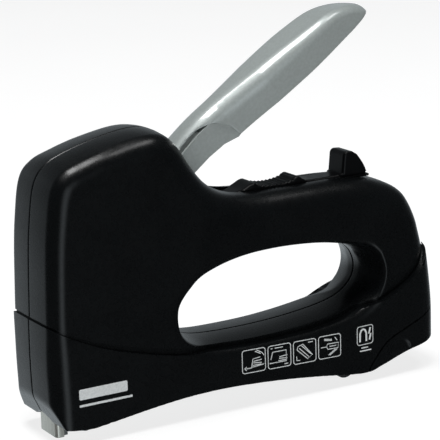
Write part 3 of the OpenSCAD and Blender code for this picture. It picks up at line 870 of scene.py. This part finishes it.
def lock_field(x, y, z):
    """Toothed saddle and horn on a plate, with a stem and a foot inside the handle."""
    teeth = TOOTH_DEPTH * np.abs((x / TOOTH) % 1 - 0.5) * 2 * ease(x, 92, 93) * (1 - ease(x, 110.6, 111.8))
    half = np.where(z > SADDLE_FLOOR, SADDLE_HALF, SLIDE_HALF)
    f = round_both(saddle(x, z) - teeth, half - np.abs(y), SADDLE_EDGE)
    f = np.maximum(f, box_field(x, y, z, 80.4, 146.6, 5.6, 82.5, 83.6, 0.3))
    f = np.maximum(f, box_field(x, y, z, 93, 133, 2.6, 78, 83, 0.2))
    return np.maximum(f, box_field(x, y, z, 93, 133, 5.4, 77, 78.4, 0.2))


def build_lock():
    lock = moulded("lock_slide_saddle", lock_field, np.arange(79.6, 151.8, 0.32),
                   np.arange(-6.6, 6.8, 0.33), np.arange(76.3, 95, 0.32)[None, :])
    shade(lock, 40)
    finish_piece(lock, "lock_plastic", "lock", "lock_slide")


build_lock()


# ---------------------------------------------------------------- nose

def build_nose():
    """Bent front plate with rounded bends and a bevelled lower edge."""
    half, wall, bend, length, height = 7.3, 1.2, 1.4, 9.0, 33.0
    outer = np.vstack([[[length, -half]], arc((bend, -half + bend), bend, 270, 180, 6),
                       arc((bend, half - bend), bend, 180, 90, 6), [[length, half]]])
    inner = [[length, half - wall], [1.8, half - wall], [1.8, -half + wall], [length, -half + wall]]
    nose = prism("nose_plate_bent", np.vstack([outer, inner]), 0, height, axis="z")
    side = [[-1, 0], [3.4, 0], [3.7, 5.4], [9.5, 6], [9.5, 34], [-1, 34]]
    combine(nose, [prism("nose_side", side, -9, 9)], "INTERSECT")
    bevel = nose.modifiers.new("bevel", "BEVEL")
    bevel.width = 0.18 * MM
    bevel.segments = 2
    bevel.limit_method = "ANGLE"
    bevel.angle_limit = radians(35)
    shade(nose, 30)
    finish_piece(nose, "nose_steel", "housing", "nose_plate")


build_nose()


# ---------------------------------------------------------------- white prints

PRINT_FACE = -LOWER_HALF
PRINT_THICK = 0.04
FRAME_LINE = 0.32


def stroke(points, width, closed=False):
    """Quads that cover a line of the given width, in X and Z."""
    p = np.asarray(points, float)
    n = len(p)
    nxt = np.roll(p, -1, axis=0)
    prv = np.roll(p, 1, axis=0)
    if not closed:
        nxt[-1] = p[-1]
        prv[0] = p[0]
    along = nxt - prv
    along /= np.linalg.norm(along, axis=1)[:, None]
    side = np.column_stack([-along[:, 1], along[:, 0]]) * width / 2
    a, b = p + side, p - side
    last = n if closed else n - 1
    return [np.array([a[i], a[(i + 1) % n], b[(i + 1) % n], b[i]]) for i in range(last)]


def rounded_frame(x, z, w, h, tilt, r=1.1):
    """Closed outline of a rounded rectangle with its lower left corner at X, Z, turned by a slope."""
    rows = [arc((x + w - r, z + h - r), r, 0, 90, 5), arc((x + r, z + h - r), r, 90, 180, 5),
            arc((x + r, z + r), r, 180, 270, 5), arc((x + w - r, z + r), r, 270, 360, 5)]
    p = np.vstack(rows)
    p[:, 1] += (p[:, 0] - x) * tilt
    return p


def flat_print(name, quads):
    """Thin raised ink on the left shell, from quads in X and Z."""
    vertices, faces = [], []
    for quad in quads:
        q = quad if signed_area(quad) > 0 else quad[::-1]
        n = len(vertices)
        k = len(q)
        vertices += [[x, PRINT_FACE - PRINT_THICK, z] for x, z in q]
        vertices += [[x, PRINT_FACE + PRINT_THICK, z] for x, z in q]
        faces.append(list(range(n, n + k)))
        faces.append(list(range(n + 2 * k - 1, n + k - 1, -1)))
        faces += [[n + i, n + k + i, n + k + (i + 1) % k, n + (i + 1) % k] for i in range(k)]
    piece = mesh_object(name, vertices, faces)
    piece.data.materials.append(white_ink)
    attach(piece, "housing")


white_ink = white_print()


# Each symbol is a list of lines over a square from 0 to 1
ARROW_LEFT = [[(0.4, 0.2), (0.08, 0.2)], [(0.18, 0.28), (0.08, 0.2), (0.18, 0.12)]]
COIL = [[(0.45, 0.3), (0.8, 0.3), (0.84, 0.37), (0.48, 0.4), (0.5, 0.47), (0.84, 0.5)]]
OPEN_MAGAZINE = ARROW_LEFT + COIL + [
    [(0.4, 0.22), (0.94, 0.28)], [(0.4, 0.22), (0.46, 0.58), (0.78, 0.62)],
    [(0.56, 0.9), (0.8, 0.76)], [(0.62, 0.95), (0.86, 0.8), (0.95, 0.66)]]
LOAD_STAPLES = COIL + [
    [(0.06, 0.24), (0.8, 0.24), (0.8, 0.72), (0.2, 0.72)], [(0.2, 0.72), (0.12, 0.4)],
    [(0.12, 0.88), (0.2, 0.88)], [(0.3, 0.88), (0.66, 0.88)], [(0.72, 0.12), (0.88, 0.12)]]
STAPLE_SIDE = [[(0.16, 0.62), (0.62, 0.16), (0.84, 0.3), (0.42, 0.84), (0.2, 0.76), (0.16, 0.62)],
               [(0.26, 0.68), (0.68, 0.24)], [(0.36, 0.78), (0.78, 0.34)],
               [(0.14, 0.34), (0.14, 0.16), (0.3, 0.14)], [(0.66, 0.88), (0.86, 0.88)]]
SQUEEZE = [[(0.26, 0.86), (0.6, 0.8)], [(0.26, 0.81), (0.6, 0.75)], [(0.74, 0.88), (0.84, 0.72)],
           [(0.1, 0.5), (0.36, 0.5), (0.4, 0.62), (0.9, 0.62), (0.88, 0.38), (0.42, 0.38), (0.36, 0.5)],
           [(0.5, 0.5), (0.8, 0.5)], [(0.84, 0.34), (0.5, 0.1)], [(0.76, 0.34), (0.44, 0.12)]]
HORSESHOE = [(0.18, 0.16), (0.18, 0.6), (0.26, 0.78), (0.38, 0.84), (0.5, 0.78), (0.58, 0.6), (0.58, 0.16)]
FLASH = [(0.84, 0.86), (0.74, 0.54), (0.86, 0.54), (0.78, 0.2)]


def build_prints():
    """Five framed pictures along the lower tier, two plain lines, and a plain label near the nose."""
    quads = []

    def framed(x, z, w, h, tilt, lines, width):
        quads.extend(stroke(rounded_frame(x, z, w, h, tilt), FRAME_LINE, closed=True))
        for line in lines:
            points = [(x + w * u, z + h * v + w * u * tilt) for u, v in line]
            quads.extend(stroke(points, width))

    pictures = [OPEN_MAGAZINE, LOAD_STAPLES, STAPLE_SIDE, SQUEEZE]
    for i, (picture, z) in enumerate(zip(pictures, (14.6, 14.3, 14.0, 13.9))):
        framed(76.0 + 11.9 * i, z, 10.6, 9.4, -0.02, picture, 0.34)
    framed(130.4, 16.2, 7.7, 7.8, 0.02, [HORSESHOE, FLASH], 0.8)
    quads.extend(stroke([(132.4, 14.9), (135.6, 14.9)], 0.5))
    quads.extend(stroke([(131.6, 13.6), (137.2, 13.6)], 0.5))
    flat_print("instruction_symbols", quads)
    flat_print("plain_label", [rounded_frame(4.6, 17.8, 20.5, 4.2, 0.0, 0.6),
                               rounded_frame(4.6, 15.0, 22.5, 0.9, 0.0, 0.2)])


build_prints()


# ---------------------------------------------------------------- CAD nodes that stay

def slot_of(node):
    """The record's slot of a CAD node, from the name of its packed material."""
    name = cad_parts[node].data.materials[0].name
    return name.split(".")[0]


def dress_nodes():
    """Gives every CAD node that stays visible the better material of its slot."""
    for name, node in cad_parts.items():
        if node.hide_render:
            continue
        slot = slot_of(name)
        for material_slot in node.material_slots:
            material_slot.material = MATERIALS[slot]


dress_nodes()


# ---------------------------------------------------------------- stage and lights

FLOOR_HALF = 6000.0
FLOOR_TOP = -0.2              # just under the nose's face
FLOOR_THICK = 20


def floor_material():
    s = Surface("floor_paper", (0.3, 0.3, 0.3), 0.9, specular=0.1)
    s.tint(s.noise(3, 2), (0.29, 0.29, 0.29), (0.31, 0.31, 0.31))
    s.set("Emission Color", (1, 1, 1, 1))
    s.set("Emission Strength", 0.8)
    return s.material


def make_floor():
    floor = block("floor", -FLOOR_HALF, FLOOR_HALF, -FLOOR_HALF, FLOOR_HALF,
                  FLOOR_TOP - FLOOR_THICK, FLOOR_TOP)
    floor.data.materials.append(floor_material())
    floor.visible_glossy = False


def soft_light(name, place, aim, size, power):
    data = bpy.data.lights.new(name, "AREA")
    data.shape = "RECTANGLE"
    data.size = size[0]
    data.size_y = size[1]
    data.energy = power
    lamp = bpy.data.objects.new(name, data)
    bpy.context.scene.collection.objects.link(lamp)
    lamp.location = place
    lamp.rotation_euler = (Vector(aim) - Vector(place)).to_track_quat("-Z", "Y").to_euler()


class Sky:
    """World brightness as a sum of soft patches over the direction looked in."""

    def __init__(self, colour):
        world = bpy.data.worlds.new("studio")
        world.use_nodes = True
        bpy.context.scene.world = world
        self.nodes = world.node_tree.nodes
        self.links = world.node_tree.links
        split = self.nodes.new("ShaderNodeSeparateXYZ")
        self.links.new(self.nodes.new("ShaderNodeTexCoord").outputs["Generated"], split.inputs[0])
        self.along = {axis: split.outputs[axis] for axis in "XYZ"}
        self.background = self.nodes["Background"]
        self.background.inputs["Color"].default_value = (*colour, 1)

    def fade(self, axis, low, high):
        """0 below low and 1 above high, or the other way round where low is the larger."""
        node = self.nodes.new("ShaderNodeMapRange")
        node.interpolation_type = "SMOOTHSTEP"
        node.inputs["From Min"].default_value = min(low, high)
        node.inputs["From Max"].default_value = max(low, high)
        node.inputs["To Min"].default_value = 0 if low < high else 1
        node.inputs["To Max"].default_value = 1 if low < high else 0
        self.links.new(self.along[axis], node.inputs["Value"])
        return node.outputs["Result"]

    def maths(self, operation, a, b):
        node = self.nodes.new("ShaderNodeMath")
        node.operation = operation
        for socket, value in zip(node.inputs, (a, b)):
            if isinstance(value, (int, float)):
                socket.default_value = value
            else:
                self.links.new(value, socket)
        return node.outputs[0]

    def patch(self, strength, *fades):
        total = strength
        for fade in fades:
            total = self.maths("MULTIPLY", self.fade(*fade), total)
        return total

    def shine(self, base, patches):
        total = base
        for patch in patches:
            total = self.maths("ADD", patch, total)
        self.links.new(total, self.background.inputs["Strength"])


def make_world():
    """A dim room, lighter behind the object and low down, with one soft strip in front of it."""
    sky = Sky((0.86, 0.95, 1.0))
    behind = (("Y", 0.1, 0.75), ("X", -0.85, -0.3))
    sky.shine(0.05, [
        sky.patch(0.5, *behind, ("Z", -0.05, -0.5)),
        sky.patch(0.22, *behind, ("Z", 0.5, 0.2)),
        sky.patch(0.1, *behind, ("Z", 0.75, 0.45)),
        sky.patch(1.4, ("Y", -0.3, -0.65), ("X", -0.5, -0.15), ("X", 0.3, -0.05), ("Z", 0.55, 0.1))])


def make_lights():
    centre = (0.08, 0, 0.07)
    soft_light("top_box", (-0.12, -0.02, 1.45), centre, (0.8, 0.45), 17)
    soft_light("top_tail", (0.52, -0.3, 1.35), centre, (0.5, 0.3), 3)


make_floor()
make_world()
make_lights()
bpy.context.scene.view_settings.view_transform = "Standard"
